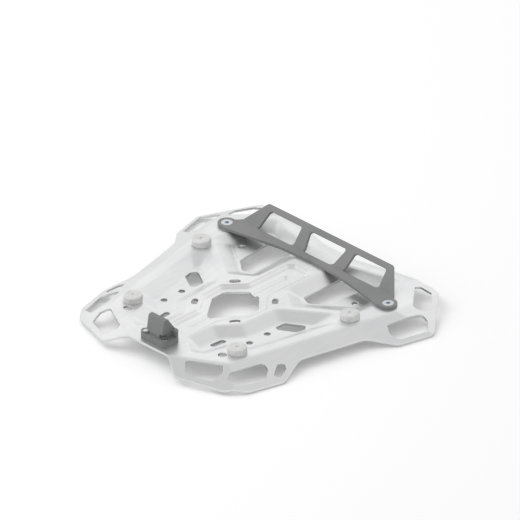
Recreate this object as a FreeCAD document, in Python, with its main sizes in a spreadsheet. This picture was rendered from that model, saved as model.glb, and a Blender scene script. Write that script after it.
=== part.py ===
"""Mounting plate for a motorbike top case, built as a parametric FreeCAD document.

A stamped light-metal plate with formed pockets carries a folded front bracket, a moulded latch
block at the rear and four push-in rubber buffers. The origin is on the plate's flat top, midway
between the two bracket screws; +X is forward, +Y is left, +Z is up. Millimetres and degrees.
"""
import FreeCAD, Part
import math
import os
import Sketcher
from FreeCAD import Vector

# Driving dimensions of the plate: where its edges lie, its sheet, bends, pockets and holes

tail_x = -226.0
tab_y = 167.0
front_x = 46.0
lap = 10.0

DIMENSIONS = {
    "tail_x": tail_x, "tab_y": tab_y, "front_x": front_x,
    "sheet": 2.6, "blank_depth": 40, "overlap": lap,
    "flange_angle": 25.0, "corner_angle": 21.8, "bend_ease": 1.5,
    "rear_bend_x": tail_x + 15.5, "rear_bend_y": 56.5, "rear_heading": 60.6,
    "side_bend_x": -98.5, "side_bend_y": 105.75, "side_heading": 12.7,
    "corner_bend_x": -2, "corner_bend_y": tab_y - 39.5, "corner_heading": -15.6,
    "front_pocket_depth": 6.8, "rear_pocket_depth": 7.0, "middle_pocket_depth": 3.1,
    "groove_depth": 5.2, "pocket_ease": 0.09, "middle_ease": 0.25,
    "screw_hole": 6.6, "bracket_hole_y": 114, "bracket_nut_hole": 8.6,
    "latch_rear_x": tail_x + 10.5, "latch_rear_y": 13.5, "latch_front_x": tail_x + 25,
    "latch_front_hole": 7.0,
    "buffer_hole": 7.0, "buffer_rear_x": tail_x + 53, "buffer_rear_y": 73.8,
    "buffer_front_x": -45, "buffer_front_y": 105,
    "strap_hole": 9.0, "strap_x": tail_x + 38.8, "strap_y": 66.8,
    "floor_hole": 7.0, "front_floor_x1": -12.4, "front_floor_x2": 13.4, "front_floor_y": 80,
    "rear_floor_x1": -142.4, "rear_floor_x2": -117.4, "rear_floor_y": 60.5,
    "carrier_slot": 11.5, "carrier_width": 6.5, "carrier_rear_x": -131,
    "carrier_front_x": -74, "carrier_y": 28.5, "carrier_rear_heading": 36,
    "carrier_front_heading": -38,
}

# Outlines of the plate, each corner as x, y and the radius that rounds it

OUTLINES = {
    "rim": [
        (tail_x, 0, 0), (tail_x, 28, 10), (tail_x - 13, 51, 10), (tail_x + 6, 102, 16),
        (tail_x + 24, 117.5, 16), (tail_x + 66, 128.5, 12), (-127.5, 117.3, 20),
        (-52.5, 134.8, 20), (-28, tab_y - 10, 12), (12, tab_y, 10), (60, tab_y - 41, 10),
        (front_x + 20, 109, 12), (front_x + 18, 89, 20), (front_x, 20, 40), (front_x, 0, 0)],
    "front_top": [
        (-51, 19.5, 10), (25, 19.5, 10), (43, 88, 8), (21, 103.5, 12), (-30, 103.5, 10),
        (-70, 46, 8)],
    "front_floor": [
        (-45, 33.5, 5), (11.5, 33.5, 5), (27, 76, 7), (16, 89.5, 6), (-17, 89.5, 6),
        (-49.5, 45, 5)],
    "rear_top": [
        (tail_x + 38, 17.5, 9), (-152, 19.3, 12), (-131, 36.5, 12), (-83, 40.5, 14),
        (-49, 89, 8), (-62, 101.5, 8), (-158, 80.3, 9), (-170, 59.5, 10),
        (tail_x + 29, 52.5, 8), (tail_x + 20, 39, 8)],
    "rear_floor": [
        (tail_x + 41, 31, 2.5), (-158, 32.5, 8), (-137, 50, 8), (-90.5, 54, 8),
        (-70.5, 82.5, 2.5), (-76, 84.6, 2), (-149, 68.4, 4), (-161, 47.8, 8),
        (tail_x + 39, 41, 2), (tail_x + 35.5, 36, 2)],
    "middle_top": [
        (tail_x + 42, -lap, 0), (tail_x + 42, 9, 4), (tail_x + 48, 15, 4), (-140, 15, 10),
        (-117, 31.5, 8), (-89, 33.5, 8), (-69, 15.5, 10), (-13, 15.5, 4), (-7.5, 10, 4),
        (-7.5, -lap, 0)],
    "middle_floor": [
        (tail_x + 45.5, -lap, 0), (tail_x + 45.5, 7.5, 3), (tail_x + 49.5, 11.5, 3),
        (-139, 11.5, 10), (-116, 28, 7), (-90.5, 30, 7), (-70.4, 12, 10), (-14.5, 12, 3),
        (-11, 8.5, 3), (-11, -lap, 0)],
    "rear_groove_top": [
        (tail_x + 59, -lap, 0), (tail_x + 59, 4.5, 3), (-128, 4.5, 0), (-128, -lap, 0)],
    "rear_groove_floor": [
        (tail_x + 61.5, -lap, 0), (tail_x + 61.5, 2.5, 1.5), (-128, 2.5, 0), (-128, -lap, 0)],
    "front_groove_top": [
        (-85, -lap, 0), (-85, 4.5, 0), (-26, 4.5, 3), (-26, -lap, 0)],
    "front_groove_floor": [
        (-85, -lap, 0), (-85, 2.5, 0), (-28.5, 2.5, 1.5), (-28.5, -lap, 0)],
    "middle_opening": [
        (-138, -lap, 0), (-138, 4, 3), (-110, 24.5, 5), (-93, 24.5, 5), (-75.5, 7, 4),
        (-75.5, -lap, 0)],
    "front_opening": [
        (-40.5, 35, 4), (13.5, 35, 3), (20, 60, 3), (8, 66.8, 4), (-32.5, 63, 4),
        (-46, 46.5, 5)],
    "rear_opening": [
        (-101.5, 56.8, 3), (-90, 57, 3), (-78.5, 76, 3), (-84, 81, 3), (-94, 79.2, 3),
        (-104.5, 61.5, 3)],
    "tip_opening": [
        (tail_x + 51, 34.8, 3), (tail_x + 69, 36.4, 3), (tail_x + 70, 43, 2.5),
        (tail_x + 52, 40.8, 2.5)],
    "rear_slot": [
        (tail_x - 5.5, 57.5, 5), (tail_x + 8, 45.5, 4), (tail_x + 27, 80, 4),
        (tail_x + 20, 86.5, 4), (tail_x + 6, 84, 5)],
    "side_slot": [
        (tail_x + 15.5, 97, 4), (tail_x + 25, 91.5, 4), (tail_x + 62.5, 101, 4),
        (tail_x + 61, 109, 3.5), (tail_x + 50, 117.5, 5), (tail_x + 19, 107.5, 5)],
    "narrow_slot": [
        (tail_x + 59, 118.5, 2.5), (tail_x + 74, 109.5, 2.5), (tail_x + 80.5, 113, 2),
        (tail_x + 77.5, 118.5, 2), (tail_x + 66, 123, 3)],
    "tab_slot": [
        (-27, tab_y - 24, 4), (-22, tab_y - 33, 4), (20.5, tab_y - 26, 4),
        (20, tab_y - 17.5, 4), (9, tab_y - 5.5, 5), (-23.5, tab_y - 13.5, 4)],
    "corner_slot": [
        (19.5, tab_y - 37.5, 4), (50, 102, 3.5), (57, 103, 3.5), (55.5, tab_y - 47, 4),
        (36, tab_y - 27.5, 4), (24, tab_y - 29.5, 4)],
}

# The front lip, as stations across the plate: how far out each lies, where the bend starts,
# where the edge is and how far it drops there

LIP = {
    "start": (-lap, front_x - 15, front_x, 4.2), "centre": (0, front_x - 15, front_x, 4.2),
    "waist": (22, front_x - 14, front_x + 1, 4.3),
    "shoulder": (62, front_x - 1, front_x + 11.5, 4.8),
    "corner": (91, front_x + 3, front_x + 18.5, 6.0), "end": (127.5, -2, 62, 5.9),
    "far": (175, -68.4, 58.7, 5.8),
}

# Driving dimensions of the front bracket: folded sheet, two ears and three windows

DIMENSIONS |= {
    "bracket_sheet": 3.0, "bracket_angle": 45, "bracket_bend_x": 15.8, "bracket_flange": 27.5,
    "bracket_bend_radius": 2.0, "bracket_back": -30, "countersink": 12.3,
    "countersink_depth": 2.85,
}
OUTLINES |= {
    "bracket_base": [
        (5, 0, 0), (2.5, 44, 60), (-5, 84, 60), (-9.5, 106, 12), (-9.5, 123.5, 9.4),
        (9, 123, 9), (9.5, 111, 6), (17, 106, 5), (34.5, 88.5, 6), (34.5, 0, 0)],
    "middle_window": [
        (-2, 20.2, 0), (18.2, 26, 3), (18.2, -26, 3), (-2, -20.2, 0)],
    "middle_window_foot": [
        (12.7, 19.6, 3), (19, 20.8, 0), (19, -20.8, 0), (12.7, -19.6, 3)],
    "outer_window": [
        (-2, 35.6, 0), (18.2, 37.4, 3), (18.2, 82, 3), (-2, 84.8, 0)],
    "outer_window_foot": [
        (12.7, 35.4, 3), (19, 35.9, 0), (19, 84.4, 0), (12.7, 85, 3)],
}

# Driving dimensions of the latch block

latch_x = tail_x + 10.5

DIMENSIONS |= {
    "block_base": 6.0, "block_width": 22, "boss": 8.8, "boss_height": 7.6,
    "boss_relief": 13.0, "boss_relief_top": 11.0, "shoulder": 12.5,
    "shoulder_back": latch_x + 12.5, "shoulder_length": 5.5,
}
OUTLINES |= {
    "block_outline": [
        (latch_x - 5, -18, 5), (latch_x - 5, 18, 5), (latch_x + 15, 18, 4),
        (latch_x + 23.5, 9, 5), (latch_x + 23.5, -9, 5), (latch_x + 15, -18, 4)],
    "block_side": [
        (latch_x - 1, 0, 0), (latch_x - 1, 9, 0), (latch_x + 2, 26.2, 1),
        (latch_x + 6.75, 27, 1.2), (latch_x + 17.5, 12.2, 2), (latch_x + 21.5, 8, 2),
        (latch_x + 21.5, 0, 0)],
}

# Driving dimensions of the rubber buffers and the fasteners

DIMENSIONS |= {
    "buffer_head": 20, "buffer_head_height": 6.8, "buffer_round": 1.6, "buffer_foot": 0.6,
    "buffer_dimple": 3.2, "buffer_dimple_depth": 0.8, "buffer_neck": 6.8, "buffer_barb": 8.6,
    "buffer_barb_edge": 0.8, "buffer_barb_length": 3.2, "buffer_stem": 19.6,
    "buffer_tail": 5.0, "buffer_play": 0.2,
    "screw": 6.0, "screw_end": 0.7, "csk_head": 12.0, "csk_length": 16, "head_play": 0.1,
    "socket": 4.0, "socket_depth": 2.4, "flange_head": 13.6, "flange_thickness": 1.2,
    "dome": 10.5, "dome_height": 3.0, "dome_edge": 0.8, "dome_top": 2.2, "flange_length": 10,
    "nut_collar": 12, "nut_collar_height": 2.2, "nut_bore": 6.0, "nut_lead": 0.5,
    "insert_width": 7.4, "insert_start": 0.2,
}

os.makedirs("parts", exist_ok=True)
doc = FreeCAD.newDocument("top_case_mounting_plate")
sizes = doc.addObject("Spreadsheet::Sheet", "Sizes")
rows = [(name, [(name, value)]) for name, value in DIMENSIONS.items()]
for name, corners in OUTLINES.items():
    rows += [(f"{name} corner {i}", [(f"{name}_{i}{axis}", value)
                                     for axis, value in zip("xyr", corner)])
             for i, corner in enumerate(corners, 1)]
for name, station in LIP.items():
    rows.append((f"lip {name}", [(f"lip_{name}_{word}", value)
                                 for word, value in zip(("y", "bend", "edge", "drop"), station)]))
for row, (title, cells) in enumerate(rows, 1):
    sizes.set(f"A{row}", title)
    for column, (alias, value) in zip("BCDE", cells):
        sizes.set(f"{column}{row}", str(value))
        sizes.setAlias(f"{column}{row}", alias)
doc.recompute()


def evaluate(item, text):
    """The number that an expression gives in this document."""
    return float(item.evalExpression(text))


def corners_of(name):
    """The outline's corners as expressions: x, y and radius of each."""
    return [tuple(f"Sizes.{name}_{i}{axis}" for axis in "xyr")
            for i in range(1, len(OUTLINES[name]) + 1)]


def blended(first, second, share):
    """Corners a share of the way from the first outline's to the second's."""
    return [tuple(f"{a} + ({share}) * ({b} - {a})" for a, b in zip(*pair))
            for pair in zip(corners_of(first), corners_of(second))]


def sketch_outline(corners, label, height=None):
    """Draw a closed outline with rounded corners, each corner and radius held by its expression."""
    sketch = doc.addObject("Sketcher::SketchObject", label)
    values = [[evaluate(sketch, text) for text in corner] for corner in corners]
    count = len(values)
    points = [Vector(x, y, 0) for x, y, radius in values]
    entries, exits, arcs = [], [], []
    for i, (x, y, radius) in enumerate(values):
        corner = points[i]
        to_last = (points[i - 1] - corner).normalize()
        to_next = (points[(i + 1) % count] - corner).normalize()
        half = math.acos(max(-1.0, min(1.0, to_last.dot(to_next)))) / 2
        reach = radius / math.tan(half)
        entries.append(corner + to_last * reach)
        exits.append(corner + to_next * reach)
        if radius:
            centre = corner + (to_last + to_next).normalize() * (radius / math.sin(half))
            left_turn = to_last.cross(to_next).z < 0
            ends = (entries[i], exits[i]) if left_turn else (exits[i], entries[i])
            angles = [math.atan2(p.y - centre.y, p.x - centre.x) for p in ends]
            circle = Part.Circle(centre, Vector(0, 0, 1), radius)
            arcs.append((Part.ArcOfCircle(circle, *angles), left_turn))
        else:
            arcs.append(None)
    lines = [sketch.addGeometry(Part.LineSegment(exits[i], entries[(i + 1) % count]), False)
             for i in range(count)]
    rules, bound = [], []
    for i, (x, y, radius) in enumerate(values):
        before, after = lines[i - 1], lines[i]
        if arcs[i]:
            arc, left_turn = arcs[i]
            bend = sketch.addGeometry(arc, False)
            mark = sketch.addGeometry(Part.Point(points[i]), True)
            start, end = (1, 2) if left_turn else (2, 1)
            rules += [Sketcher.Constraint("Tangent", before, 2, bend, start),
                      Sketcher.Constraint("Tangent", bend, end, after, 1),
                      Sketcher.Constraint("PointOnObject", mark, 1, before),
                      Sketcher.Constraint("PointOnObject", mark, 1, after)]
            bound.append((len(rules), corners[i][2]))
            rules.append(Sketcher.Constraint("Radius", bend, radius))
            held = mark, 1
        else:
            rules.append(Sketcher.Constraint("Coincident", before, 2, after, 1))
            held = after, 1
        bound += [(len(rules), corners[i][0]), (len(rules) + 1, corners[i][1])]
        rules += [Sketcher.Constraint("DistanceX", -1, 1, *held, x),
                  Sketcher.Constraint("DistanceY", -1, 1, *held, y)]
    sketch.addConstraint(rules)
    for index, text in bound:
        sketch.setExpression(f"Constraints[{index}]", text)
    if height:
        sketch.setExpression("Placement.Base.z", height)
    return sketch


def part(kind, label, placement=None, **bindings):
    """Add an object whose properties are bound to expressions."""
    item = doc.addObject(kind, label)
    for name, text in bindings.items():
        item.setExpression(name, text)
    if placement:
        item.setExpression("Placement", placement)
    return item


def at(x, y, z="0", yaw="0", pitch="0", roll="0"):
    """A placement expression from six short expressions."""
    return f"placement(vector({x}; {y}; {z}); rotation({yaw}; {pitch}; {roll}))"


def prism(outline, label, low, high, placement=None):
    """A closed outline drawn out between two heights."""
    sketch = sketch_outline(corners_of(outline), f"{label}_sketch")
    solid = doc.addObject("Part::Extrusion", label)
    solid.Base, solid.Solid, solid.DirMode, solid.Dir = sketch, True, "Custom", Vector(0, 0, 1)
    solid.setExpression("LengthFwd", high)
    solid.setExpression("LengthRev", f"-({low})")
    if placement:
        solid.setExpression("Placement", placement)
    return solid


def cavity(label, top, floor, depth, ease):
    """A formed pocket: its edge eased into the sloping walls, and these into its floor."""
    steps = [(f"-{ease}", "0"), (ease, f"-{depth} * {ease}"),
             (f"1 - {ease}", f"-{depth} * (1 - {ease})"), (f"1 + {ease}", f"-{depth}")]
    sections = [sketch_outline(blended(top, floor, share), f"{label}_step_{i}", height)
                for i, (share, height) in enumerate(steps)]
    return loft(label, sections)


def groove(label, top, floor):
    """A narrow groove in the middle pocket's floor."""
    return loft(label, [
        sketch_outline(corners_of(top), f"{label}_edge", "-Sizes.middle_pocket_depth"),
        sketch_outline(corners_of(floor), f"{label}_floor", "-Sizes.groove_depth")])


def loft(label, sections):
    """A closed solid with straight sides between its sections."""
    solid = doc.addObject("Part::Loft", label)
    solid.Sections, solid.Solid, solid.Ruled = sections, True, True
    return solid


def cylinder(label, x, y, low, high, radius):
    """An upright cylinder between two heights."""
    return part("Part::Cylinder", label, at(x, y, low), Radius=radius,
                Height=f"({high}) - ({low})", Angle="360 deg")


def join(label, shapes):
    solid = doc.addObject("Part::MultiFuse", label)
    solid.Shapes = shapes
    return solid


def cut(label, base, tool):
    solid = doc.addObject("Part::Cut", label)
    solid.Base, solid.Tool = base, tool
    return solid


def mirrored(label, source):
    """The same solid on the other side of the centre plane."""
    solid = doc.addObject("Part::Mirroring", label)
    solid.Source, solid.Base, solid.Normal = source, Vector(0, 0, 0), Vector(0, 1, 0)
    return solid


def both_sides(label, half):
    """A half and its mirror image as one solid without a seam."""
    whole = join(label, [half, mirrored(f"{label}_other_half", half)])
    whole.Refine = True
    return whole


# The plate's left half: a blank, less everything above the formed surface

def flange_tool(side, angle):
    """What the forming takes away above one flange: two blocks, on half and on the full slope."""
    turn = at(f"Sizes.{side}_bend_x", f"Sizes.{side}_bend_y", "0", f"Sizes.{side}_heading * 1 deg")
    blocks = []
    for name, share, inset in (("ease", "0.5", "Sizes.bend_ease"), ("slope", "1", "0")):
        block = part("Part::Box", f"{side}_flange_{name}", Length="2 * Sizes.tab_y",
                     Width="Sizes.tab_y", Height="Sizes.blank_depth")
        block.setExpression("Placement", f"{turn} * placement(vector(-Sizes.tab_y; -{inset}; 0);"
                            f" rotation(0; 0; -{angle} * {share} * 1 deg))")
        blocks.append(block)
    return blocks


def lip_section(station, name, share, inset):
    """One station of the front lip: a triangle that lies on its slope, or on a share of it."""
    cell = f"Sizes.lip_{station}"
    bend, reach = f"({cell}_bend - {inset})", "(2 * Sizes.front_x)"
    fall = f"-{share} * {cell}_drop * ({reach} - {bend}) / ({cell}_edge - {cell}_bend)"
    corners = [(bend, "0"), (reach, fall), (reach, "Sizes.overlap")]
    sketch = doc.addObject("Sketcher::SketchObject", f"lip_{station}_{name}")
    values = [(evaluate(sketch, x), evaluate(sketch, y)) for x, y in corners]
    for i in range(3):
        ends = [Vector(*values[j % 3], 0) for j in (i, i + 1)]
        sketch.addGeometry(Part.LineSegment(*ends), False)
    rules = [Sketcher.Constraint("Coincident", i, 2, (i + 1) % 3, 1) for i in range(3)]
    rules += [Sketcher.Constraint("DistanceX", -1, 1, 0, 1, values[0][0]),
              Sketcher.Constraint("PointOnObject", 0, 1, -1),
              Sketcher.Constraint("DistanceX", -1, 1, 1, 1, values[1][0]),
              Sketcher.Constraint("DistanceY", -1, 1, 1, 1, values[1][1]),
              Sketcher.Constraint("DistanceX", -1, 1, 2, 1, values[2][0]),
              Sketcher.Constraint("DistanceY", -1, 1, 2, 1, values[2][1])]
    sketch.addConstraint(rules)
    for index, text in ((3, bend), (5, reach), (6, fall), (7, reach), (8, "Sizes.overlap")):
        sketch.setExpression(f"Constraints[{index}]", text)
    sketch.setExpression("Placement", at("0", f"{cell}_y", "0", "0", "0", "90 deg"))
    return sketch


def lip_tool():
    """What the forming takes away above the front lip, its bend eased as the flanges' are."""
    return [loft(f"lip_{name}", [lip_section(station, name, share, inset) for station in LIP])
            for name, share, inset in (("ease", "0.5", "Sizes.bend_ease"), ("slope", "1", "0"))]


forming = join("forming_tools",
               flange_tool("rear", "Sizes.flange_angle")
               + flange_tool("side", "Sizes.flange_angle")
               + flange_tool("corner", "Sizes.corner_angle")
               + lip_tool() + [
    cavity("front_pocket", "front_top", "front_floor", "Sizes.front_pocket_depth",
           "Sizes.pocket_ease"),
    cavity("rear_pocket", "rear_top", "rear_floor", "Sizes.rear_pocket_depth",
           "Sizes.pocket_ease"),
    cavity("middle_pocket", "middle_top", "middle_floor", "Sizes.middle_pocket_depth",
           "Sizes.middle_ease"),
    groove("rear_groove", "rear_groove_top", "rear_groove_floor"),
    groove("front_groove", "front_groove_top", "front_groove_floor")])
blank = prism("rim", "blank", "-Sizes.blank_depth", "0")
upper = cut("formed_top", blank, forming)

# The underside is the same formed surface, one sheet lower

lower_tools = doc.addObject("App::Link", "forming_tools_lower")
lower_tools.LinkedObject = forming
lower_tools.setExpression("Placement", at("0", "0", "-Sizes.sheet"))
under = part("Part::Box", "under_block",
             at("2 * Sizes.tail_x", "-Sizes.overlap", "-2 * Sizes.blank_depth - Sizes.sheet"),
             Length="-3 * Sizes.tail_x", Width="2 * Sizes.tab_y",
             Height="2 * Sizes.blank_depth")
lower = cut("formed_underside", under, lower_tools)
half_sheet = cut("half_sheet", upper, lower)


def round_hole(label, x, y, diameter):
    return cylinder(label, x, y, "-Sizes.blank_depth", "Sizes.overlap", f"({diameter}) / 2")


def through(outline):
    return prism(outline, f"{outline}_punch", "-Sizes.blank_depth", "Sizes.overlap")


def oblong(label, x, y, heading):
    """A slot with round ends: two cylinders and the block between them."""
    straight = "(Sizes.carrier_slot - Sizes.carrier_width)"
    width, height = "Sizes.carrier_width", "Sizes.blank_depth + Sizes.overlap"
    turn = at(x, y, "-Sizes.blank_depth", f"{heading} * 1 deg")
    block = part("Part::Box", f"{label}_block",
                 f"{turn} * placement(vector(-{straight} / 2; -{width} / 2; 0); rotation(0; 0; 0))",
                 Length=straight, Width=width, Height=height)
    ends = [part("Part::Cylinder", f"{label}_end_{name}",
                 f"{turn} * placement(vector({sign}{straight} / 2; 0; 0); rotation(0; 0; 0))",
                 Radius=f"{width} / 2", Height=height)
            for name, sign in (("a", "-"), ("b", ""))]
    return join(label, [block] + ends)


punches = join("punches", [
    round_hole("bracket_hole", "0", "Sizes.bracket_hole_y", "Sizes.bracket_nut_hole"),
    round_hole("latch_rear_hole", "Sizes.latch_rear_x", "Sizes.latch_rear_y", "Sizes.screw_hole"),
    round_hole("latch_front_hole_cut", "Sizes.latch_front_x", "0", "Sizes.latch_front_hole"),
    round_hole("buffer_rear_hole", "Sizes.buffer_rear_x", "Sizes.buffer_rear_y",
               "Sizes.buffer_hole"),
    round_hole("buffer_front_hole", "Sizes.buffer_front_x", "Sizes.buffer_front_y",
               "Sizes.buffer_hole"),
    round_hole("strap_hole_cut", "Sizes.strap_x", "Sizes.strap_y", "Sizes.strap_hole"),
    round_hole("front_floor_hole_1", "Sizes.front_floor_x1", "Sizes.front_floor_y",
               "Sizes.floor_hole"),
    round_hole("front_floor_hole_2", "Sizes.front_floor_x2", "Sizes.front_floor_y",
               "Sizes.floor_hole"),
    round_hole("rear_floor_hole_1", "Sizes.rear_floor_x1", "Sizes.rear_floor_y",
               "Sizes.floor_hole"),
    round_hole("rear_floor_hole_2", "Sizes.rear_floor_x2", "Sizes.rear_floor_y",
               "Sizes.floor_hole"),
    oblong("carrier_rear_slot", "Sizes.carrier_rear_x", "Sizes.carrier_y",
           "Sizes.carrier_rear_heading"),
    oblong("carrier_front_slot", "Sizes.carrier_front_x", "Sizes.carrier_y",
           "Sizes.carrier_front_heading"),
    through("middle_opening"), through("front_opening"), through("rear_opening"),
    through("tip_opening"), through("rear_slot"), through("side_slot"), through("narrow_slot"),
    through("tab_slot"), through("corner_slot")])
half_plate = cut("half_plate", half_sheet, punches)
plate = both_sides("mounting_plate", half_plate)


def turned(label, corners, placement=None):
    """A solid of revolution about Z from a half profile, each corner an (r, z) pair of cells."""
    sketch = doc.addObject("Sketcher::SketchObject", f"{label}_profile")
    values = [(evaluate(sketch, r), evaluate(sketch, z)) for r, z in corners]
    count = len(values)
    for i in range(count):
        ends = [Vector(*values[j % count], 0) for j in (i, i + 1)]
        sketch.addGeometry(Part.LineSegment(*ends), False)
    rules = [Sketcher.Constraint("Coincident", i, 2, (i + 1) % count, 1) for i in range(count)]
    bound = []
    for i, (r, z) in enumerate(corners):
        bound += [(len(rules), r), (len(rules) + 1, z)]
        rules += [Sketcher.Constraint("DistanceX", -1, 1, i, 1, values[i][0]),
                  Sketcher.Constraint("DistanceY", -1, 1, i, 1, values[i][1])]
    sketch.addConstraint(rules)
    for index, text in bound:
        sketch.setExpression(f"Constraints[{index}]", text)
    sketch.setExpression("Placement", "placement(vector(0; 0; 0); rotation(0; 0; 90 deg))")
    solid = doc.addObject("Part::Revolution", label)
    solid.Source, solid.Axis, solid.Angle, solid.Solid = sketch, Vector(0, 0, 1), 360, True
    if placement:
        solid.setExpression("Placement", placement)
    return solid


# Front bracket: a strip folded up along its front, cut to its plan outline

def folded_sheet(label):
    """The bent sheet as it leaves the press, wide enough for the whole bracket."""
    half, sheet = "(1.2 * Sizes.bracket_hole_y)", "Sizes.bracket_sheet"
    wide, hinge_x = f"2 * {half}", "Sizes.bracket_bend_x"
    strip = part("Part::Box", f"{label}_strip", at("Sizes.bracket_back", f"-{half}", "0"),
                 Length=f"{hinge_x} - Sizes.bracket_back", Width=wide, Height=sheet)
    centre = f"{sheet} + Sizes.bracket_bend_radius"
    turn = "rotation(0; 0; 90 deg)"
    sector = f"placement(vector({hinge_x}; {half}; {centre}); {turn})"
    outer = part("Part::Cylinder", f"{label}_outer",
                 f"{sector} * placement(vector(0; 0; 0); rotation(-90; 0; 0))",
                 Radius=centre, Height=wide, Angle="Sizes.bracket_angle * 1 deg")
    inner = part("Part::Cylinder", f"{label}_inner", sector,
                 Radius="Sizes.bracket_bend_radius", Height=wide)
    bend = cut(f"{label}_bend", outer, inner)
    slope = "-Sizes.bracket_angle * 1 deg"
    flange = part("Part::Box", f"{label}_flange",
                  f"{at(hinge_x, f'-{half}', centre, '0', slope, '0')}"
                  f" * placement(vector(0; 0; -({centre})); rotation(0; 0; 0))",
                  Length="Sizes.bracket_flange", Width=wide, Height=sheet)
    return join(label, [strip, bend, flange])


def window(outline, label):
    """A window that runs from the strip, over the bend and square through the flange."""
    slope = "-Sizes.bracket_angle * 1 deg"
    centre = "(Sizes.bracket_sheet + Sizes.bracket_bend_radius)"
    place = (f"{at('Sizes.bracket_bend_x', '0', centre, '0', slope, '0')}"
             f" * placement(vector(0; 0; -{centre}); rotation(0; 0; 0))")
    low, high = "-Sizes.bracket_sheet", "2 * Sizes.bracket_sheet"
    return join(label, [prism(f"{outline}_foot", f"{label}_foot", low, high),
                        prism(outline, f"{label}_face", low, high, place)])


def bracket_solid():
    plan = doc.addObject("Part::MultiCommon", "bracket_trimmed")
    plan.Shapes = [folded_sheet("bracket_fold"),
                   both_sides("bracket_plan_whole",
                              prism("bracket_base", "bracket_plan_half", "-Sizes.overlap",
                                    "2 * Sizes.bracket_flange"))]
    outer = window("outer_window", "outer_window_cut")
    screw = cylinder("bracket_screw_hole", "0", "Sizes.bracket_hole_y", "-Sizes.overlap",
                     "Sizes.overlap", "Sizes.screw_hole / 2")
    sink = part("Part::Cone", "bracket_countersink",
                at("0", "Sizes.bracket_hole_y",
                   "Sizes.bracket_sheet - Sizes.countersink_depth"),
                Radius1="Sizes.screw_hole / 2", Radius2="Sizes.countersink / 2",
                Height="Sizes.countersink_depth")
    side = join("bracket_side_cuts", [outer, screw, sink])
    cuts = join("bracket_cuts", [side, mirrored("bracket_side_cuts_right", side),
                                 window("middle_window", "middle_window_cut")])
    return cut("front_bracket", plan, cuts)


bracket = bracket_solid()


# Latch block: a flanged base, a wedge that carries the lock, two shoulders and three inserts

def block_solid():
    base = prism("block_outline", "block_base_plate", "0", "Sizes.block_base")
    wedge = prism("block_side", "block_wedge", "-Sizes.block_width / 2", "Sizes.block_width / 2",
                  "placement(vector(0; 0; 0); rotation(0; 0; 90 deg))")
    shoulders = doc.addObject("Part::MultiCommon", "block_shoulders")
    shoulders.Shapes = [
        prism("block_outline", "block_shoulder_blank", "0", "Sizes.shoulder"),
        part("Part::Box", "block_shoulder_range",
             at("Sizes.shoulder_back", "-2 * Sizes.block_width", "0"),
             Length="Sizes.shoulder_length", Width="4 * Sizes.block_width",
             Height="2 * Sizes.shoulder")]
    body = join("block_body", [base, wedge, shoulders])
    relief = cylinder("boss_relief_left", "Sizes.latch_rear_x", "Sizes.latch_rear_y",
                      "Sizes.block_base", "Sizes.boss_relief_top", "Sizes.boss_relief / 2")
    relieved = cut("block_relieved", body,
                   join("boss_reliefs", [relief, mirrored("boss_relief_right", relief)]))
    boss = cylinder("boss_left", "Sizes.latch_rear_x", "Sizes.latch_rear_y",
                    "Sizes.block_base / 2", "Sizes.boss_height", "Sizes.boss / 2")
    raised = join("block_raised", [relieved, boss, mirrored("boss_right", boss)])
    pocket = cylinder("insert_pocket_left", "Sizes.latch_rear_x", "Sizes.latch_rear_y",
                      "-Sizes.overlap", "Sizes.flange_length", "Sizes.insert_width / 2")
    front = cylinder("insert_pocket_front", "Sizes.latch_front_x", "0",
                     "-Sizes.overlap", "Sizes.flange_length", "Sizes.insert_width / 2")
    return cut("latch_block", raised,
               join("insert_pockets", [pocket, mirrored("insert_pocket_right", pocket), front]))


block = block_solid()


def insert(label, x, y, top):
    """A stainless insert: a plain threaded sleeve moulded into the block."""
    return turned(label, [("Sizes.nut_bore / 2", "Sizes.insert_start"),
                          ("Sizes.insert_width / 2", "Sizes.insert_start"),
                          ("Sizes.insert_width / 2", top), ("Sizes.nut_bore / 2", top)],
                  at(x, y, "0"))


inserts = [insert("latch_insert_left", "Sizes.latch_rear_x", "Sizes.latch_rear_y",
                  "Sizes.boss_height"),
           insert("latch_insert_right", "Sizes.latch_rear_x", "-Sizes.latch_rear_y",
                  "Sizes.boss_height"),
           insert("latch_insert_front", "Sizes.latch_front_x", "0", "Sizes.boss_height")]


def buffer(label, x, y, z):
    """A push-in rubber buffer: soft round head above, barbed stem through the plate."""
    edge, foot, dish = "Sizes.buffer_round", "Sizes.buffer_foot", "Sizes.buffer_dimple / 2"
    rim, top = "Sizes.buffer_head / 2", "Sizes.buffer_head_height"
    neck, barb = "Sizes.buffer_neck / 2", "Sizes.buffer_barb / 2"
    under = "-Sizes.sheet - Sizes.buffer_play"
    return turned(label, [
        ("0", f"{top} - Sizes.buffer_dimple_depth"), (dish, f"{top} - Sizes.buffer_dimple_depth"),
        (dish, top), (f"{rim} - {edge}", top), (f"{rim} - {edge} * 0.3", f"{top} - {edge} * 0.3"),
        (rim, f"{top} - {edge}"), (rim, foot), (f"{rim} - {foot}", "0"), (neck, "0"),
        (neck, under), (barb, under), (barb, f"{under} - Sizes.buffer_barb_edge"),
        (neck, f"{under} - Sizes.buffer_barb_length"),
        ("Sizes.buffer_tail / 2", f"{foot} - Sizes.buffer_stem"),
        (f"Sizes.buffer_tail / 2 - {foot}", "-Sizes.buffer_stem"), ("0", "-Sizes.buffer_stem")],
        at(x, y, z))


buffers = [buffer(f"buffer_{end}_{side}", f"Sizes.buffer_{end}_x",
                  f"{sign}Sizes.buffer_{end}_y", "0")
           for end in ("rear", "front") for side, sign in (("left", ""), ("right", "-"))]


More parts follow.
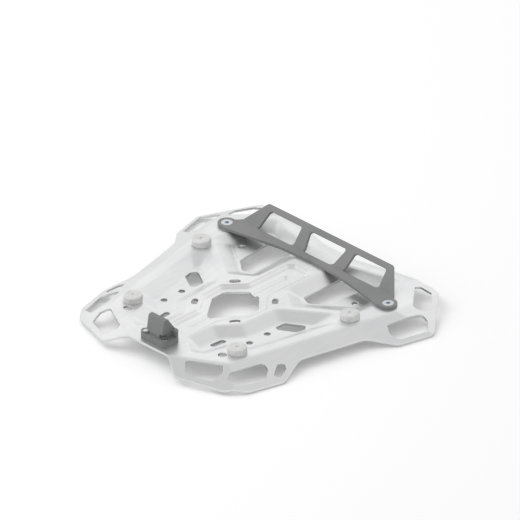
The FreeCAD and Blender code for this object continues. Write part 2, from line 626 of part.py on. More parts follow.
def socket_tool(label, z_top, placement):
    """The hexagonal key socket of a screw head."""
    key = doc.addObject("Part::Prism", label)
    key.Polygon = 6
    key.setExpression("Circumradius", "Sizes.socket / sqrt(3)")
    key.setExpression("Height", "2 * Sizes.socket_depth")
    key.setExpression("Placement", f"{placement} * placement(vector(0; 0; {z_top}"
                      " - Sizes.socket_depth); rotation(0; 0; 0))")
    return key


def countersunk_screw(label, y):
    """A countersunk socket screw, its head flush with the bracket."""
    top = "Sizes.bracket_sheet - Sizes.head_play"
    body = turned(f"{label}_body", [
        ("0", top), ("Sizes.csk_head / 2", top),
        ("Sizes.screw / 2", f"{top} - (Sizes.csk_head - Sizes.screw) / 2"),
        ("Sizes.screw / 2", f"{top} - Sizes.csk_length + Sizes.screw_end"),
        ("Sizes.screw / 2 - Sizes.screw_end", f"{top} - Sizes.csk_length"),
        ("0", f"{top} - Sizes.csk_length")], at("0", y, "0"))
    return cut(label, body, socket_tool(f"{label}_socket", top, at("0", y, "0")))


def flange_screw(label, x, y):
    """A flange button-head screw put in from below the plate."""
    seat, thick = "-Sizes.sheet", "Sizes.flange_thickness"
    crown = f"{seat} - {thick} - Sizes.dome_height"
    body = turned(f"{label}_body", [
        ("0", f"{seat} + Sizes.flange_length"),
        ("Sizes.screw / 2 - Sizes.screw_end", f"{seat} + Sizes.flange_length"),
        ("Sizes.screw / 2", f"{seat} + Sizes.flange_length - Sizes.screw_end"),
        ("Sizes.screw / 2", seat),
        ("Sizes.flange_head / 2", seat), ("Sizes.flange_head / 2", f"{seat} - {thick}"),
        ("Sizes.dome / 2", f"{seat} - {thick}"),
        ("Sizes.dome / 2 - Sizes.dome_edge", f"{seat} - {thick} - Sizes.dome_height * 0.55"),
        ("Sizes.dome / 2 - Sizes.dome_top", crown), ("0", crown)], at(x, y, "0"))
    return cut(label, body, socket_tool(f"{label}_socket", crown, at(x, y, "0")))


def press_nut(label, y):
    """A press-in nut: its collar under the plate, its barrel in the plate's hole."""
    under = "-Sizes.sheet"
    return turned(label, [
        ("Sizes.nut_bore / 2", "-Sizes.nut_lead"), ("Sizes.nut_bore / 2 + Sizes.nut_lead", "0"),
        ("Sizes.bracket_nut_hole / 2", "0"),
        ("Sizes.bracket_nut_hole / 2", under), ("Sizes.nut_collar / 2", under),
        ("Sizes.nut_collar / 2", f"{under} - Sizes.nut_collar_height"),
        ("Sizes.nut_bore / 2", f"{under} - Sizes.nut_collar_height")], at("0", y, "0"))


screws = [countersunk_screw("bracket_screw_left", "Sizes.bracket_hole_y"),
          countersunk_screw("bracket_screw_right", "-Sizes.bracket_hole_y"),
          flange_screw("latch_screw_left", "Sizes.latch_rear_x", "Sizes.latch_rear_y"),
          flange_screw("latch_screw_right", "Sizes.latch_rear_x", "-Sizes.latch_rear_y"),
          flange_screw("latch_screw_front", "Sizes.latch_front_x", "0")]
nuts = [press_nut("press_nut_left", "Sizes.bracket_hole_y"),
        press_nut("press_nut_right", "-Sizes.bracket_hole_y")]
nodes = [plate, bracket, block] + inserts + buffers + screws + nuts
doc.recompute()

for item in doc.Objects:
    if "Invalid" in item.State or "Error" in item.State:
        raise RuntimeError(f"{item.Label}: {item.State}")
for node in nodes:
    if node.Shape.isNull() or not node.Shape.isValid():
        raise RuntimeError(f"{node.Label} has no valid shape")
    node.Shape.exportStep(f"parts/{node.Label}.step")
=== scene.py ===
# %% [markdown]
# # A top case mounting plate, seen as in a parts diagram
#
# The object is the plate that carries a motorbike's top case. It is a stamped aluminium plate with
# sunk pockets and strap slots, a folded steel bracket screwed on near the front edge, a moulded
# latch block at the rear edge, four rubber buffers that the case stands on, and the fasteners.
#
# The solids of all these pieces come in with the frame, at their real sizes and places. What this
# file adds is what the eye needs: one finish for each real material, which also eases the edges,
# threads on the screws, a plain pale studio, and the camera of the diagram.

# %% Load the solids
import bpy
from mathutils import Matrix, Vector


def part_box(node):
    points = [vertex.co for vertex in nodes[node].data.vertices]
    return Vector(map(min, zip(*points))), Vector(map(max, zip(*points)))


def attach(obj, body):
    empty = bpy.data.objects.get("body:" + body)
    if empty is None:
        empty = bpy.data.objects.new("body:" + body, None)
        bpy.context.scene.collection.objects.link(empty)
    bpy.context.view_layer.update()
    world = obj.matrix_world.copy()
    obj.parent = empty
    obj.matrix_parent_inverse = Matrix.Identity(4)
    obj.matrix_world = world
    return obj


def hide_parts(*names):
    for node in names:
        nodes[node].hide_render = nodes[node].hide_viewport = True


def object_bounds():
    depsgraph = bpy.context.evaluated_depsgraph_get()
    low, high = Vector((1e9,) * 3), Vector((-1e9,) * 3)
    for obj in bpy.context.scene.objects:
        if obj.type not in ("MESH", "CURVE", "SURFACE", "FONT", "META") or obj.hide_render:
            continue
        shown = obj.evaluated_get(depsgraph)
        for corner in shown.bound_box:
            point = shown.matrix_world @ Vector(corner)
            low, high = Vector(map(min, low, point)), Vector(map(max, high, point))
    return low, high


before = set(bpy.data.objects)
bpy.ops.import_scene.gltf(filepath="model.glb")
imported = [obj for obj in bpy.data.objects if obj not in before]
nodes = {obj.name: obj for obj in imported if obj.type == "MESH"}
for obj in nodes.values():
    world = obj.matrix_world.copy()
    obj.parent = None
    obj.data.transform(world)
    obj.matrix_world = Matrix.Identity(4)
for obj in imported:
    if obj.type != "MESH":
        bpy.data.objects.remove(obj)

import math

import bmesh
import bpy
from mathutils import Vector

solid_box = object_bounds()
print("pieces:", len(nodes))
print("box in mm:", [[round(1000 * value, 1) for value in corner] for corner in solid_box])

# %% [markdown]
# ## Colours and nodes
#
# A colour picked from a paint chart is an sRGB value, and a shader works in linear light.
# One function makes that step for every colour below, so that the hex values can be read and
# compared with a chart.
#
# A material is a chain of nodes. Adding one by hand takes a line for the node, a line for each
# setting and a line for each link. One small function takes all of that at once: an input is named
# by keyword, and a value that is itself an output is linked.

# %% Helpers for colours and nodes
MM = 0.001


def linear(hex_colour):
    """The linear RGBA of an sRGB colour such as "#E6E6E6"."""
    channels = [int(hex_colour[i:i + 2], 16) / 255 for i in (1, 3, 5)]
    return [c / 12.92 if c <= 0.04045 else ((c + 0.055) / 1.055) ** 2.4 for c in channels] + [1.0]


def add(tree, kind, settings=None, stops=(), **inputs):
    """A shader node with its settings made, its ramp's stops placed, its inputs set or linked."""
    new = tree.nodes.new("ShaderNode" + kind)
    for name, value in (settings or {}).items():
        setattr(new, name, value)
    for i, (position, colour) in enumerate(stops):
        element = new.color_ramp.elements[i] if i < 2 else new.color_ramp.elements.new(position)
        element.position, element.color = position, linear(colour)
    for name, value in inputs.items():
        socket = next(s for s in new.inputs if name in (s.identifier, s.name.replace(" ", "_")))
        if isinstance(value, bpy.types.NodeSocket):
            tree.links.new(value, socket)
        else:
            socket.default_value = value
    return new


print("mid grey #868686 is", round(linear("#868686")[0], 3), "in linear light")

# %% [markdown]
# ## Eased edges, and where they are worn
#
# No real edge is sharp: a press rolls the upper edge of a hole over, a fold has a radius, and a
# mould has its corners eased. Round a sheet with so many holes, a rounding in the mesh would turn
# its long thin triangles over, so it is part of the finish. A Bevel node gives the normal that the
# surface would have if its edges were rounded over a small radius, and the finish is shaded with
# it.
#
# The same normal tells where an edge is. Handling, washing and the case itself polish the outer
# edges of a part first. On a flat face the eased normal and the surface's own agree, and close to
# an edge they part. The angle between them, broken up by a noise, is a mask from 0 on the faces to
# its full amount on the edges.

# %% Eased edges and the edge mask
EASE_SAMPLES = 8
ALIKE_ON_FACE, ALIKE_ON_EDGE = 0.995, 0.80
RUB_FROM, RUB_TO = 0.35, 0.62


def eased_edges(tree, radius):
    """The normal of the surface with its edges rounded over that radius."""
    return add(tree, "Bevel", {"samples": EASE_SAMPLES}, Radius=radius).outputs["Normal"]


def edge_mask(tree, place, eased, patch, amount):
    """From 0 on faces to amount on eased edges, broken up in patches of that size."""
    own = add(tree, "NewGeometry")
    alike = add(tree, "VectorMath", {"operation": "DOT_PRODUCT"},
                Vector=eased, Vector_001=own.outputs["Normal"])
    near_edge = add(tree, "MapRange", Value=alike.outputs["Value"], From_Min=ALIKE_ON_FACE,
                    From_Max=ALIKE_ON_EDGE, To_Min=0.0, To_Max=amount)
    patches = add(tree, "TexNoise", Vector=place, Scale=1 / patch, Detail=3.0)
    rubbed = add(tree, "MapRange", Value=patches.outputs["Fac"], From_Min=RUB_FROM,
                 From_Max=RUB_TO)
    return add(tree, "Math", {"operation": "MULTIPLY"}, Value=near_edge.outputs["Result"],
               Value_001=rubbed.outputs["Result"]).outputs["Value"]


def new_finish(name):
    """An empty material of that name: itself, its tree and the place on the object in metres."""
    material = bpy.data.materials.new(name)
    material.use_nodes = True
    material.node_tree.nodes.clear()
    place = add(material.node_tree, "TexCoord").outputs["Object"]
    return material, material.node_tree, place


def surface(tree, eased, bump_height, bump_size, **inputs):
    """The finish's shader with a bump of that size in metres, joined to the material's output."""
    bump = add(tree, "Bump", Normal=eased, Height=bump_height, Distance=bump_size, Strength=1.0)
    shader = add(tree, "BsdfPrincipled", Normal=bump.outputs["Normal"], **inputs)
    add(tree, "OutputMaterial", Surface=shader.outputs["BSDF"])


finishes = {}
print("one mask for worn edges serves every finish")

# %% [markdown]
# ## Satin anodised aluminium
#
# The plate is stamped from sheet, blasted with fine glass beads and anodised clear. Blasting leaves
# a grain of about 0.2 mm, which scatters light evenly, so the metal looks pale grey and never
# mirrors. The grain is drawn at 0.9 mm, because one pixel of the picture covers 1 mm. The sheet's
# rolling shows as faint long streaks along its length, some 4 mm wide and 120 mm long, and the
# anodising as slow clouds of 60 mm. Where the case and the straps rub, the edges are brighter.

# %% Anodised aluminium for the plate
GRAIN, GRAIN_HEIGHT = 0.9 * MM, 0.03 * MM
STREAK_WIDTH, STREAK_LENGTH, STREAK_SHARE = 4 * MM, 120 * MM, 0.5
CLOUD = 60 * MM
BLEND_LOW, BLEND_HIGH = 0.45, 0.95
PLATE_DULL, PLATE_BRIGHT = 0.46, 0.38
PLATE_EDGE, PLATE_WEAR, PLATE_WEAR_PATCH = 0.9 * MM, 0.6, 18 * MM


def anodised_aluminium():
    material, tree, place = new_finish("satin_anodised_aluminium")
    clouds = add(tree, "TexNoise", Vector=place, Scale=1 / CLOUD, Detail=2.0)
    stretched = add(tree, "Mapping", Vector=place,
                    Scale=(1 / STREAK_LENGTH, 1 / STREAK_WIDTH, 1 / STREAK_WIDTH))
    streaks = add(tree, "TexNoise", Vector=stretched.outputs["Vector"], Scale=1.0, Detail=4.0)
    grain = add(tree, "TexNoise", Vector=place, Scale=1 / GRAIN, Detail=2.0)
    blend = add(tree, "Math", {"operation": "MULTIPLY_ADD"}, Value=streaks.outputs["Fac"],
                Value_001=STREAK_SHARE, Value_002=clouds.outputs["Fac"])
    tone = add(tree, "ValToRGB", stops=((BLEND_LOW, "#E6E7E8"), (BLEND_HIGH, "#F0F0F0")),
               Fac=blend.outputs["Value"])
    eased = eased_edges(tree, PLATE_EDGE)
    worn = edge_mask(tree, place, eased, PLATE_WEAR_PATCH, PLATE_WEAR)
    colour = add(tree, "Mix", {"data_type": "RGBA"}, Factor_Float=worn,
                 A_Color=tone.outputs["Color"], B_Color=linear("#F5F5F4"))
    dull = add(tree, "MapRange", Value=blend.outputs["Value"], From_Min=BLEND_LOW,
               From_Max=BLEND_HIGH, To_Min=PLATE_DULL, To_Max=PLATE_BRIGHT)
    surface(tree, eased, grain.outputs["Fac"], GRAIN_HEIGHT, Base_Color=colour.outputs[2],
            Metallic=1.0, Roughness=dull.outputs["Result"])
    return material


finishes["plate"] = anodised_aluminium()
print("plate:", finishes["plate"].name)

# %% [markdown]
# ## Powder-coated steel
#
# The front bracket is folded from 3 mm steel and powder coated in a mid grey. The powder melts into
# a tough, even film with a slight orange peel, waves of about 1.5 mm that are only some hundredths
# of a millimetre deep. They don't change the colour, but they break up the soft highlight along the
# fold. On the outer corners the film is thinner and rubbed a little lighter.

# %% Powder coating for the bracket
PEEL, PEEL_HEIGHT = 1.5 * MM, 0.06 * MM
BRACKET_BRIGHT, BRACKET_DULL = 0.40, 0.52
BRACKET_EDGE, BRACKET_WEAR, BRACKET_WEAR_PATCH = 0.6 * MM, 0.5, 12 * MM


def powder_coating():
    material, tree, place = new_finish("powder_coated_steel")
    peel = add(tree, "TexNoise", Vector=place, Scale=1 / PEEL, Detail=1.0)
    clouds = add(tree, "TexNoise", Vector=place, Scale=1 / CLOUD, Detail=3.0)
    tone = add(tree, "ValToRGB", stops=((0.35, "#808181"), (0.65, "#8A8A8A")),
               Fac=clouds.outputs["Fac"])
    eased = eased_edges(tree, BRACKET_EDGE)
    worn = edge_mask(tree, place, eased, BRACKET_WEAR_PATCH, BRACKET_WEAR)
    colour = add(tree, "Mix", {"data_type": "RGBA"}, Factor_Float=worn,
                 A_Color=tone.outputs["Color"], B_Color=linear("#A9A9A8"))
    dull = add(tree, "MapRange", Value=clouds.outputs["Fac"], To_Min=BRACKET_BRIGHT,
               To_Max=BRACKET_DULL)
    surface(tree, eased, peel.outputs["Fac"], PEEL_HEIGHT, Base_Color=colour.outputs[2],
            Roughness=dull.outputs["Result"])
    return material


finishes["bracket"] = powder_coating()
print("bracket:", finishes["bracket"].name)

# %% [markdown]
# ## Glass-filled nylon
#
# The latch block is moulded in nylon with short glass fibres. Its mould was spark eroded, which
# leaves a matt texture of rounded pits, about 0.6 mm apart and here drawn at 1 mm. The fibres
# lie along the flow and show as faint paler flecks, 2 mm long. Nylon is dull, so its roughness is
# high, and a rub polishes it: the edges are smoother and a shade lighter.

# %% Moulded nylon for the latch block
PIT, PIT_DEPTH = 1.0 * MM, 0.10 * MM
FLECK_WIDTH, FLECK_LENGTH = 0.5 * MM, 2 * MM
BLOCK_DULL, BLOCK_POLISHED = 0.62, 0.40
BLOCK_EDGE, BLOCK_WEAR, BLOCK_WEAR_PATCH = 0.7 * MM, 0.45, 8 * MM


def moulded_nylon():
    material, tree, place = new_finish("glass_filled_nylon")
    pits = add(tree, "TexVoronoi", {"feature": "SMOOTH_F1"}, Vector=place, Scale=1 / PIT)
    along = add(tree, "Mapping", Vector=place,
                Scale=(1 / FLECK_LENGTH, 1 / FLECK_WIDTH, 1 / FLECK_WIDTH))
    flecks = add(tree, "TexNoise", Vector=along.outputs["Vector"], Scale=1.0, Detail=2.0)
    tone = add(tree, "ValToRGB", stops=((0.40, "#7E7F7F"), (0.62, "#878787"), (0.75, "#949494")),
               Fac=flecks.outputs["Fac"])
    eased = eased_edges(tree, BLOCK_EDGE)
    worn = edge_mask(tree, place, eased, BLOCK_WEAR_PATCH, BLOCK_WEAR)
    colour = add(tree, "Mix", {"data_type": "RGBA"}, Factor_Float=worn,
                 A_Color=tone.outputs["Color"], B_Color=linear("#A0A09F"))
    dull = add(tree, "MapRange", Value=worn, To_Min=BLOCK_DULL, To_Max=BLOCK_POLISHED)
    surface(tree, eased, pits.outputs["Distance"], PIT_DEPTH, Base_Color=colour.outputs[2],
            Roughness=dull.outputs["Result"])
    return material


finishes["block"] = moulded_nylon()
print("block:", finishes["block"].name)

# %% [markdown]
# ## Light grey rubber
#
# The buffers are injection-moulded thermoplastic rubber, soft enough to push through the plate. The
# surface is matt with a fine tooth of 0.3 mm, drawn at 1 mm, and it gathers a little dust, which
# lies in soft spots of 5 mm and takes the shine away. A thin sheen lifts the rim, as on all matt
# rubber seen from the side.

# %% Rubber for the buffers
TOOTH, TOOTH_HEIGHT = 1.0 * MM, 0.08 * MM
DUST_SPOT = 5 * MM
RUBBER_CLEAN, RUBBER_DUSTY = 0.62, 0.85
RUBBER_EDGE = 0.5 * MM
SHEEN, SHEEN_ROUGHNESS = 0.15, 0.5


def buffer_rubber():
    material, tree, place = new_finish("light_grey_rubber")
    tooth = add(tree, "TexNoise", Vector=place, Scale=1 / TOOTH, Detail=3.0)
    dust = add(tree, "TexNoise", Vector=place, Scale=1 / DUST_SPOT, Detail=4.0)
    tone = add(tree, "ValToRGB", stops=((0.35, "#DADAD9"), (0.65, "#E6E6E5")),
               Fac=dust.outputs["Fac"])
    dull = add(tree, "MapRange", Value=dust.outputs["Fac"], To_Min=RUBBER_CLEAN,
               To_Max=RUBBER_DUSTY)
    surface(tree, eased_edges(tree, RUBBER_EDGE), tooth.outputs["Fac"], TOOTH_HEIGHT,
            Base_Color=tone.outputs["Color"], Roughness=dull.outputs["Result"],
            Sheen_Weight=SHEEN, Sheen_Roughness=SHEEN_ROUGHNESS)
    return material


finishes["rubber"] = buffer_rubber()
print("rubber:", finishes["rubber"].name)

# %% [markdown]
# ## Zinc-plated and stainless steel
#
# The screws and the press-in nuts are turned steel with a thin bright zinc plating. The tool leaves
# rings round the axis, 0.3 mm apart and here drawn at 0.8 mm, and the plating has a cool, slightly
# cloudy tone. The threaded inserts in the latch block are stainless steel, turned in the same way.
#
# The rings have to be centred on each screw. The generated coordinates run from 0 to 1 across each
# piece's own box, so a half taken off them puts the centre on its axis, and one material serves
# every screw.

# %% Turned metal for the fasteners
RING, RING_HEIGHT, RING_WOBBLE = 0.8 * MM, 0.02 * MM, 0.3
HEAD_WIDTH = 12 * MM
PLATING_CLOUD = 3 * MM
BRIGHTER, DULLER = 0.06, 0.08
METAL_EDGE = 0.2 * MM


def turned_metal(name, dark, light, roughness):
    material, tree, place = new_finish(name)
    own_box = place.node.outputs["Generated"]
    centred = add(tree, "VectorMath", {"operation": "SUBTRACT"}, Vector=own_box,
                  Vector_001=(0.5, 0.5, 0.5))
    rings = add(tree, "TexWave", {"wave_type": "RINGS", "rings_direction": "Z"},
                Vector=centred.outputs["Vector"], Scale=HEAD_WIDTH / RING / math.tau,
                Distortion=RING_WOBBLE)
    clouds = add(tree, "TexNoise", Vector=place, Scale=1 / PLATING_CLOUD, Detail=3.0)
    tone = add(tree, "ValToRGB", stops=((0.35, dark), (0.65, light)), Fac=clouds.outputs["Fac"])
    dull = add(tree, "MapRange", Value=clouds.outputs["Fac"], To_Min=roughness - BRIGHTER,
               To_Max=roughness + DULLER)
    surface(tree, eased_edges(tree, METAL_EDGE), rings.outputs["Fac"], RING_HEIGHT,
            Base_Color=tone.outputs["Color"], Metallic=1.0, Roughness=dull.outputs["Result"])
    return material


finishes["screw"] = turned_metal("zinc_plated_screw", "#C4C8CB", "#DADDDF", 0.30)
finishes["nut"] = turned_metal("zinc_plated_nut", "#BFC1C2", "#D2D4D4", 0.36)
finishes["insert"] = turned_metal("stainless_insert", "#9C9C9B", "#B0B0AF", 0.38)
print("finishes so far:", sorted(finishes))

# %% [markdown]
# ## Finishes on their pieces
#
# Each solid arrives with a material that is named after its slot. It gets the finish of that slot
# in its place, so that all screws share one material.

# %% Give each piece its finish
slot_of = {}
for name, piece in nodes.items():
    slot_of[name] = piece.data.materials[0].name.split(".")[0]
    piece.data.materials[0] = finishes[slot_of[name]]
    print(name, "->", finishes[slot_of[name]].name)

# %% [markdown]
# ## Rounded edges of the nuts and inserts
#
# The press-in nuts and the inserts are plain turned rings without thin triangles, so their rounding
# can be real. A Bevel modifier rounds every edge that turns by more than its angle. The solids
# arrive with each face's points apart, so a Weld modifier joins them first, or the bevel would find
# no shared edges. Bevel narrows itself to the shortest edge nearby unless its clamp is off. Turned
# steel gets a tenth or two of a millimetre, which is what the tool leaves.

# %% Round the edges
EDGE_ROUND = {"nut": 0.2 * MM, "insert": 0.15 * MM}
EDGE_TURN = math.radians(28)
SAME_POINT = 0.002 * MM


def round_edges(piece, width):
    """Joins the piece's points and rounds its edges over that width."""
    weld = piece.modifiers.new("join_points", "WELD")
    weld.merge_threshold = SAME_POINT
    bevel = piece.modifiers.new("round_edges", "BEVEL")
    bevel.width, bevel.segments = width, 2
    bevel.limit_method, bevel.angle_limit = "ANGLE", EDGE_TURN
    bevel.use_clamp_overlap, bevel.harden_normals = False, True


for name, slot_name in slot_of.items():
    if slot_name in EDGE_ROUND:
        round_edges(nodes[name], EDGE_ROUND[slot_name])
        print(name, "edges rounded by", EDGE_ROUND[slot_name] / MM, "mm")

# %% [markdown]
# ## Screws with their threads
#
# The solids have plain shanks. On the real screws the thread shows below the press-in nuts and in
# the tops of the inserts. An M6 thread is a ridge wound round the shank: it climbs 1 mm a turn, and
# its groove is 0.6 mm deep. So the shank is a stack of rings whose radius depends on the angle as
# well as on the height.
#
# Everything else on a screw is round about one axis too, apart from the hexagon for the key. That
# is also a ring, with a radius that follows six flats. One function then makes both kinds of screw
# from a list of rings, each a radius and a height, from the bottom of the key's socket over the
# head to the point. Where a screw stands, and its head's width and both ends, come from its solid.

# %% Rings that make a screw
AROUND = 72
SHARP_ANGLE = math.radians(30)
SHANK, POINT = 3.0 * MM, 0.7 * MM
PITCH, THREAD_DEPTH, STEPS_PER_TURN = 1.0 * MM, 0.6 * MM, 8
KEY_WIDTH, KEY_DEPTH = 4.0 * MM, 2.4 * MM


def hexagon(angle, height):
    """The radius of the key's socket at an angle, the same at every height."""
    sixth = math.tau / 6
    return KEY_WIDTH / 2 / math.cos((angle + sixth / 2) % sixth - sixth / 2)


def pointed_thread(end):
    """A thread's radius by angle and height, with its point at the end height."""
    def radius(angle, height):
        turn = (height / PITCH - angle / math.tau) % 1
        ridge = SHANK - THREAD_DEPTH * abs(2 * turn - 1)
        return min(ridge, SHANK - POINT + abs(end - height))
    return radius


def threaded(start, end):
    """The rings of a threaded shank from one height to the other."""
    count = round(abs(end - start) / PITCH * STEPS_PER_TURN)
    radius = pointed_thread(end)
    return [(radius, start + (end - start) * k / count) for k in range(count + 1)]


def stack_rings(name, low, high, rings):
    """A closed piece of rings round the upright axis in the middle of a box."""
    points, faces = [], []
    for radius, height in rings:
        for i in range(AROUND):
            angle = math.tau * i / AROUND
            reach = radius(angle, height) if callable(radius) else radius
            points.append(((low.x + high.x) / 2 + reach * math.cos(angle),
                           (low.y + high.y) / 2 + reach * math.sin(angle), height))
    for ring in range(0, len(points) - AROUND, AROUND):
        for i in range(AROUND):
            j = (i + 1) % AROUND
            faces.append((ring + i, ring + j, ring + AROUND + j, ring + AROUND + i))
    faces += [range(AROUND), range(len(points) - AROUND, len(points))]
    mesh = bpy.data.meshes.new(name)
    mesh.from_pydata(points, [], faces)
    shape = bmesh.new()
    shape.from_mesh(mesh)
    bmesh.ops.recalc_face_normals(shape, faces=shape.faces)
    shape.to_mesh(mesh)
    shape.free()
    mesh.shade_smooth()
    mesh.set_sharp_from_angle(angle=SHARP_ANGLE)
    piece = bpy.data.objects.new(name, mesh)
    bpy.context.collection.objects.link(piece)
    return piece


print("a full thread has", STEPS_PER_TURN * AROUND, "points a turn")

# %% [markdown]
# The bracket's screws are countersunk: the head is a cone at 45 degrees to its axis, with its outer
# edge broken by about a tenth of a millimetre. The latch block's screws are put in from below.
# Theirs is a low dome on a wide flange, so the load on the thin sheet is spread.

# %% Five screws
HEAD_EDGE = 0.12 * MM
FLANGE_THICKNESS, FLANGE_EDGE = 1.2 * MM, 0.2 * MM
DOME, DOME_TOP, DOME_HEIGHT = 5.25 * MM, 3.05 * MM, 3.0 * MM
DOME_CURVE, DOME_STEPS = 1.7, 6


def countersunk(low, high):
    """The rings of a countersunk screw, from its socket down to its point."""
    head, top = (high.x - low.x) / 2, high.z
    return [(hexagon, top - KEY_DEPTH), (hexagon, top), (head - 2 * HEAD_EDGE, top),
            (head - HEAD_EDGE, top - HEAD_EDGE), (SHANK, top - head + SHANK),
            *threaded(top - head + SHANK - PITCH / 2, low.z)]


def flanged(low, high):
    """The rings of a flange screw put in from below, from its socket up to its point."""
    head, crown = (high.x - low.x) / 2, low.z
    flange = crown + DOME_HEIGHT
    seat = flange + FLANGE_THICKNESS
    upwards = [1 - k / DOME_STEPS for k in range(DOME_STEPS + 1)]
    dome = [(DOME - (DOME - DOME_TOP) * share ** DOME_CURVE, flange - DOME_HEIGHT * share)
            for share in upwards]
    return [(hexagon, crown + KEY_DEPTH), (hexagon, crown), *dome, (head - FLANGE_EDGE, flange),
            (head, flange + FLANGE_EDGE), (head, seat), (SHANK, seat),
            *threaded(seat + PITCH / 2, high.z)]


screw_names = [name for name, slot_name in slot_of.items() if slot_name == "screw"]
for name in screw_names:
    low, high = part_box(name)
    rings = countersunk(low, high) if name.startswith("bracket") else flanged(low, high)
    screw = stack_rings("threaded_" + name, low, high, rings)
    screw.data.materials.append(finishes["screw"])
    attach(screw, "root")
    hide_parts(name)
    print(screw.name, len(screw.data.vertices), "points")

# %% [markdown]
# ## A plain pale studio
#
# The plate lies on a white table. The table is one large plane just under the lowest screw, so the
# object casts its shadow there. Its white comes from its colour, plus a share of its own light that
# only the camera sees, so that the page looks white while no extra light reaches the object.

# %% The table
TABLE_SIZE, TABLE_GAP = 12.0, 0.1 * MM
OWN_LIGHT = 0.18
table_height = solid_box[0][2] - TABLE_GAP

bpy.ops.mesh.primitive_plane_add(size=TABLE_SIZE, location=(0, 0, table_height))
table = bpy.context.object
table.name = "table"
white = bpy.data.materials.new("white_table")
white.use_nodes = True
tree = white.node_tree
tree.nodes.clear()
rays = add(tree, "LightPath")
glow_share = add(tree, "Math", {"operation": "MULTIPLY"}, Value=rays.outputs["Is Camera Ray"],
                 Value_001=OWN_LIGHT)
matt = add(tree, "BsdfDiffuse", Color=linear("#F7F7F7"))
glow = add(tree, "Emission", Color=linear("#FFFFFF"), Strength=glow_share.outputs["Value"])
both = add(tree, "AddShader", Shader=matt.outputs["BSDF"], Shader_001=glow.outputs["Emission"])
add(tree, "OutputMaterial", Surface=both.outputs["Shader"])
table.data.materials.append(white)
print("table at", round(table_height / MM, 1), "mm")

# %% [markdown]
# ## Light
#
# A plain level surface should come out as its colour is written: the light on it has to add up to
# one. The sky gives 60 parts of that from all round, which keeps the shadows pale. One large square
# lamp from the left gives 40, and shapes the folds. A lamp's power follows from the level it has to
# give: at distance d and tilt t, a lamp of power P lights a level surface to about
# P cos(t) / (pi^2 d^2) of white.
#
# Metal shows its surroundings more than its own colour. A lamp in it would be a hot spot, so the
# lamp is hidden from mirror-like rays. What they meet is a white room that is brightest half way up
# its walls. Faces that lie flat mirror that height. Those that lean towards the eye mirror the
# darker ceiling, and those that lean away the darker foot of the wall, so the folds and the outline
# of the plate can be read against the white page.

# %% Sky and lamp
SKY_LEVEL = 0.60
OVERHEAD_LEVEL, MIDDLE_LEVEL, HORIZON_LEVEL = 0.62, 1.12, 0.80
MIDDLE_FROM, MIDDLE_TO = 0.40, 0.45
LAMP_LEVEL = 0.40
LAMP_SIZE = LAMP_DISTANCE = 2.6
LAMP_AZIMUTH, LAMP_TILT = math.radians(120), math.radians(42)

world = bpy.data.worlds.new("studio")
bpy.context.scene.world = world
world.use_nodes = True
tree = world.node_tree
tree.nodes.clear()
rays = add(tree, "LightPath")
height = add(tree, "SeparateXYZ", Vector=add(tree, "TexCoord").outputs["Generated"])
upwards = add(tree, "MapRange", {"interpolation_type": "SMOOTHSTEP"}, Value=height.outputs["Z"],
              From_Min=0.0, From_Max=MIDDLE_FROM, To_Min=HORIZON_LEVEL, To_Max=MIDDLE_LEVEL)
mirrored = add(tree, "MapRange", {"interpolation_type": "SMOOTHSTEP"}, Value=height.outputs["Z"],
               From_Min=MIDDLE_TO, From_Max=1.0, To_Min=upwards.outputs["Result"],
               To_Max=OVERHEAD_LEVEL)
for_gloss = add(tree, "Mix", {"data_type": "FLOAT"}, Factor_Float=rays.outputs["Is Glossy Ray"],
                A_Float=SKY_LEVEL, B_Float=mirrored.outputs["Result"])
plain_white = add(tree, "Math", {"operation": "MAXIMUM"}, Value=rays.outputs["Is Camera Ray"],
                  Value_001=rays.outputs["Is Transmission Ray"])
level = add(tree, "Mix", {"data_type": "FLOAT"}, Factor_Float=plain_white.outputs["Value"],
            A_Float=for_gloss.outputs[0], B_Float=1.0)
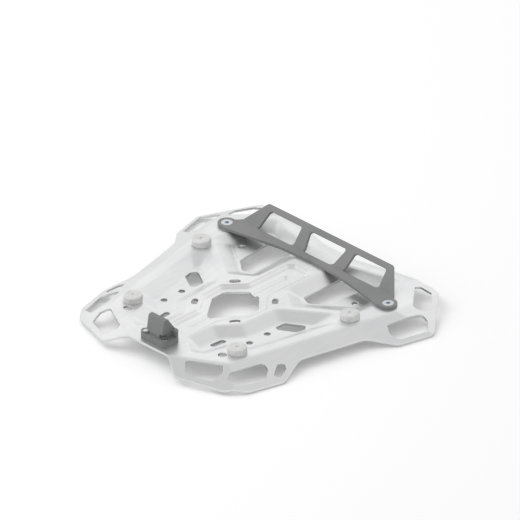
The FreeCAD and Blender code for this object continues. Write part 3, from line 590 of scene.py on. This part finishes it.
sky = add(tree, "Background", Color=linear("#FFFFFF"), Strength=level.outputs[0])
add(tree, "OutputWorld", Surface=sky.outputs["Background"])

lamp_data = bpy.data.lights.new("window", "AREA")
lamp_data.shape, lamp_data.size = "SQUARE", LAMP_SIZE
lamp_data.energy = LAMP_LEVEL * math.pi ** 2 * LAMP_DISTANCE ** 2 / math.cos(LAMP_TILT)
lamp = bpy.data.objects.new("window", lamp_data)
lamp.visible_glossy = False
bpy.context.collection.objects.link(lamp)
plate_middle = Vector(((solid_box[0][0] + solid_box[1][0]) / 2, 0, 0))
towards = Vector((math.sin(LAMP_TILT) * math.cos(LAMP_AZIMUTH),
                  math.sin(LAMP_TILT) * math.sin(LAMP_AZIMUTH), math.cos(LAMP_TILT)))
lamp.location = plate_middle + towards * LAMP_DISTANCE
lamp.rotation_euler = towards.to_track_quat("Z", "Y").to_euler()
print("lamp power", round(lamp_data.energy, 1), "W")

# %% [markdown]
# ## The camera of the diagram
#
# The diagram is a dimetric drawing: parallel lines stay parallel, both floor axes run at 45 degrees
# across the page, and the eye looks down at 30 degrees. An orthographic camera draws the same way.
# One pixel is one millimetre, so 520 pixels take 520 mm.

# %% The camera
VIEW_WIDTH = 520 * MM
AZIMUTH, ELEVATION = math.radians(45), math.radians(30)
PAGE_CENTRE = Vector((-26.5 * MM, 40.6 * MM, 0))
CAMERA_DISTANCE = 2.0

look = Vector((math.cos(AZIMUTH) * math.cos(ELEVATION), math.sin(AZIMUTH) * math.cos(ELEVATION),
               -math.sin(ELEVATION)))
camera_data = bpy.data.cameras.new("diagram")
camera_data.type, camera_data.ortho_scale = "ORTHO", VIEW_WIDTH
camera = bpy.data.objects.new("diagram", camera_data)
bpy.context.collection.objects.link(camera)
camera.location = PAGE_CENTRE - look * CAMERA_DISTANCE
camera.rotation_euler = look.to_track_quat("-Z", "Y").to_euler()
bpy.context.scene.camera = camera
bpy.context.scene.view_settings.view_transform = "Standard"
print("camera looks along", [round(v, 3) for v in look])
